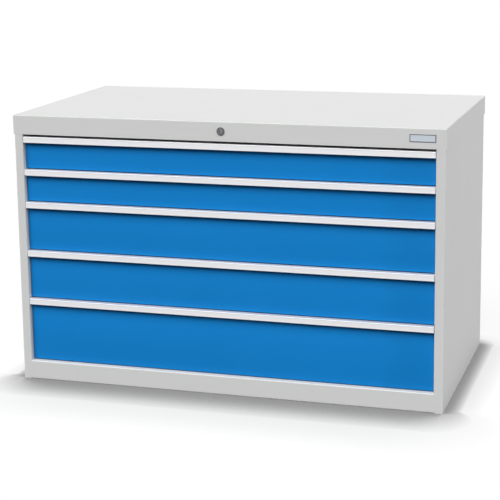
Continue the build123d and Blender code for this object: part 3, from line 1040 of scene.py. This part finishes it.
@dataclass
class Studio:
    """Pale floor, soft light and the camera at the photograph's angle.

    Attributes:
        focal_px: Focal length, in pixels of the photograph.
        shift: Camera shift across and up, as shares of the width.
        place: Where the camera stands, in metres.
        yaw_deg: Turn of the view to the left of straight on.
        pitch_deg: Tilt of the view, below the horizon if negative.
        roll_deg: Turn about the line of sight.
        floor_m: Half the width of the floor.
        foot_m: Half the width and half the depth that the soft shadow is drawn round.
        reach_m: Reach of the soft shadow at the left, at the right and in front.
        faint_reach: How many times further its faint part reaches.
        faint_share: Share of its faint part.
        shade: Darkest tone of the soft shadow.
        shade_rays: Rays with which the soft shadow is measured.
        glow_share: Share of the floor's own light, as the eye sees it.
        bounce_grey: Colour of the floor for the light that it throws back.
        floor_depth: Ray depth between a first reflection of the floor and a later one.
        sky_depth: The same for the sky, where a ray that ends counts one step more.
        fill: Strength of the sky as a light.
        sky_white: Strength of the sky to the eye, where 1 is white.
        sensor_mm: Width of the camera's sensor.
        view_m: How far the camera sees.
    """

    focal_px: float = 1500.2
    shift: tuple[float, float] = (-0.0006, -0.1242)
    place: tuple[float, float, float] = (1.331, -4.400, 1.446)
    yaw_deg: float = 17.11
    pitch_deg: float = -10.93
    roll_deg: float = 0.72
    floor_m: float = 60.0
    foot_m: tuple[float, float] = (0.62, 0.33)
    reach_m: tuple[float, float, float] = (0.04, 0.05, 0.16)
    faint_reach: float = 2.2
    faint_share: float = 0.25
    shade: float = 0.28
    shade_rays: int = 24
    glow_share: float = 0.9
    bounce_grey: str = "#3C3C3C"
    floor_depth: float = 1.5
    sky_depth: float = 2.5
    fill: float = 0.05
    sky_white: float = 1.0
    sensor_mm: float = 36.0
    view_m: float = 200.0

    def build(self) -> None:
        """Set up floor, light, world and camera."""
        self.lay_floor()
        for lamp in LAMPS:
            lamp.hang()
        self.fill_world()
        self.aim_camera()
        bpy.context.scene.view_settings.view_transform = "Standard"
        LOG.info("set up the studio")

    def seen_by_eye(self, tree: bpy.types.NodeTree, depth: float) -> bpy.types.NodeSocket:
        """Tell the rays that the eye or a first reflection sees from those that only light.

        Args:
            tree: Node tree of the floor or of the world.
            depth: Ray depth above which a reflection is no longer a first one.

        Returns:
            A socket that is 1 for what is seen, and 0 for light on its way.
        """
        path = add_node(tree, "ShaderNodeLightPath")
        early = add_node(
            tree, "ShaderNodeMath", {"operation": "LESS_THAN"}, {"Value": path.outputs["Ray Depth"]}
        )
        early.inputs[1].default_value = depth
        shine = add_node(tree, "ShaderNodeMath", {"operation": "MULTIPLY"})
        straight, seen = (
            add_node(tree, "ShaderNodeMath", {"operation": "MAXIMUM"}) for _ in range(2)
        )
        for source, socket in (
            (path.outputs["Is Glossy Ray"], shine.inputs[0]),
            (early.outputs[0], shine.inputs[1]),
            (path.outputs["Is Camera Ray"], straight.inputs[0]),
            (path.outputs["Is Transmission Ray"], straight.inputs[1]),
            (straight.outputs[0], seen.inputs[0]),
            (shine.outputs[0], seen.inputs[1]),
        ):
            tree.links.new(source, socket)
        return seen.outputs[0]

    def way_to_foot(
        self, tree: bpy.types.NodeTree, place: bpy.types.NodeSocket
    ) -> bpy.types.NodeSocket:
        """Give the level direction from a place on the floor to the cabinet's foot.

        Args:
            tree: Node tree of the floor.
            place: Object coordinates, in metres.

        Returns:
            A socket with a direction of length 1.
        """
        nearest = place
        for operation, side in (("MAXIMUM", -1.0), ("MINIMUM", 1.0)):
            limit = add_node(
                tree, "ShaderNodeVectorMath", {"operation": operation}, {"Vector": nearest}
            )
            limit.inputs[1].default_value = (side * self.foot_m[0], side * self.foot_m[1], 0.0)
            nearest = limit.outputs[0]
        way = add_node(
            tree, "ShaderNodeVectorMath", {"operation": "SUBTRACT"}, {"Vector": nearest}
        )
        tree.links.new(place, way.inputs[1])
        unit = add_node(
            tree, "ShaderNodeVectorMath", {"operation": "NORMALIZE"}, {"Vector": way.outputs[0]}
        )
        return unit.outputs[0]

    def shade_reach(
        self, tree: bpy.types.NodeTree, inward: bpy.types.NodeSocket
    ) -> bpy.types.NodeSocket:
        """Give the reach of the soft shadow, which differs from side to side.

        Args:
            tree: Node tree of the floor.
            inward: Level direction to the cabinet's foot, of length 1.

        Returns:
            A socket with the reach, in metres.
        """
        left, right, front = self.reach_m
        axes = add_node(tree, "ShaderNodeSeparateXYZ", links={"Vector": inward})
        sideways = add_node(
            tree,
            "ShaderNodeMapRange",
            {"From Min": -1.0, "To Min": right, "To Max": left},
            {"Value": axes.outputs["X"]},
        )
        ahead = add_node(tree, "ShaderNodeMapRange", links={"Value": axes.outputs["Y"]})
        reach = add_node(
            tree,
            "ShaderNodeMix",
            {"B": front},
            {"Factor": ahead.outputs[0], "A": sideways.outputs[0]},
        )
        return shown(reach.outputs, "Result")

    def lay_floor(self) -> None:
        """Lay the floor, white to the eye, with a soft shadow painted where the cabinet stands."""
        clear_selection()
        bpy.ops.mesh.primitive_plane_add(size=2 * self.floor_m, location=(0, 0, 0))
        floor = bpy.context.object
        floor.name = "floor"
        paint = bpy.data.materials.new("pale studio floor")
        paint.use_nodes = True
        tree = paint.node_tree
        tree.nodes.clear()
        seen = self.seen_by_eye(tree, self.floor_depth)
        # Painted shadow: the floor's colour darkens in a band all round the foot, which is wide in
        # front of it.
        place = add_node(tree, "ShaderNodeTexCoord").outputs["Object"]
        inward = self.way_to_foot(tree, place)
        near = self.shade_reach(tree, inward)
        far = add_node(tree, "ShaderNodeMath", {"operation": "MULTIPLY"}, {"Value": near})
        far.inputs[1].default_value = self.faint_reach
        strong, faint = (
            add_node(
                tree,
                "ShaderNodeAmbientOcclusion",
                {"samples": self.shade_rays},
                {"Distance": reach, "Normal": inward},
            )
            for reach in (near, far.outputs[0])
        )
        both = add_node(
            tree,
            "ShaderNodeMix",
            {"Factor": self.faint_share},
            {"A": strong.outputs["AO"], "B": faint.outputs["AO"]},
        )
        # A level direction is open by half at least, because half of it looks below the floor.
        painted_floor_shadow = add_node(
            tree,
            "ShaderNodeMapRange",
            {"From Min": 0.5, "To Min": self.shade, "To Max": 1.0},
            {"Value": shown(both.outputs, "Result")},
        )
        tone = add_node(
            tree,
            "ShaderNodeMix",
            {"data_type": "RGBA", "A": linear(self.bounce_grey)},
            {"Factor": seen, "B": painted_floor_shadow.outputs[0]},
        )
        colour = {"Color": shown(tone.outputs, "Result")}
        matt = add_node(tree, "ShaderNodeBsdfDiffuse", links=colour)
        # To the eye, most of the floor's light is its own, so that the lamps' shadows stay pale.
        glow = add_node(tree, "ShaderNodeEmission", links=colour)
        share = add_node(tree, "ShaderNodeMapRange", {"To Max": self.glow_share}, {"Value": seen})
        surface = add_node(tree, "ShaderNodeMixShader", links={"Fac": share.outputs[0]})
        for shader, socket in zip((matt, glow), surface.inputs[1:]):
            tree.links.new(shader.outputs[0], socket)
        add_node(tree, "ShaderNodeOutputMaterial", links={"Surface": surface.outputs[0]})
        floor.data.materials.append(paint)

    def fill_world(self) -> None:
        """Fill the sky with weak even light that looks white to the eye and in metal."""
        world = bpy.data.worlds.new("studio sky")
        bpy.context.scene.world = world
        world.use_nodes = True
        tree = world.node_tree
        tree.nodes.clear()
        seen = self.seen_by_eye(tree, self.sky_depth)
        strength = add_node(
            tree,
            "ShaderNodeMapRange",
            {"To Min": self.fill, "To Max": self.sky_white},
            {"Value": seen},
        )
        sky = add_node(
            tree,
            "ShaderNodeBackground",
            {"Color": (1.0, 1.0, 1.0, 1.0)},
            {"Strength": strength.outputs[0]},
        )
        add_node(tree, "ShaderNodeOutputWorld", links={"Surface": sky.outputs[0]})

    def aim_camera(self) -> None:
        """Stand the camera where the photograph was taken."""
        clear_selection()
        bpy.ops.object.camera_add(location=self.place)
        camera = bpy.context.object
        camera.name = "camera"
        turn = (
            Matrix.Rotation(math.radians(self.yaw_deg), 4, "Z")
            @ Matrix.Rotation(math.radians(self.pitch_deg), 4, "X")
            @ Matrix.Rotation(math.radians(self.roll_deg), 4, "Y")
            @ Matrix.Rotation(math.pi / 2, 4, "X")
        )
        camera.matrix_world = Matrix.Translation(self.place) @ turn
        camera.data.sensor_width = self.sensor_mm
        camera.data.lens = self.focal_px / IMAGE_PX * self.sensor_mm
        camera.data.shift_x, camera.data.shift_y = self.shift
        camera.data.clip_end = self.view_m
        bpy.context.scene.camera = camera


def main() -> None:
    """Build the cabinet's looks and the studio, piece by piece."""
    logging.basicConfig(level=logging.INFO, format="%(message)s")
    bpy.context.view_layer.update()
    Housing().dress()
    lock = Lock()
    lock.build()
    lock.dress()
    RimPlate().build()
    Slides().dress()
    stack = Stack([Drawer(number) for number in DRAWERS])
    stack.build()
    stack.dress()
    Studio().build()


if __name__ == "__main__":
    main()
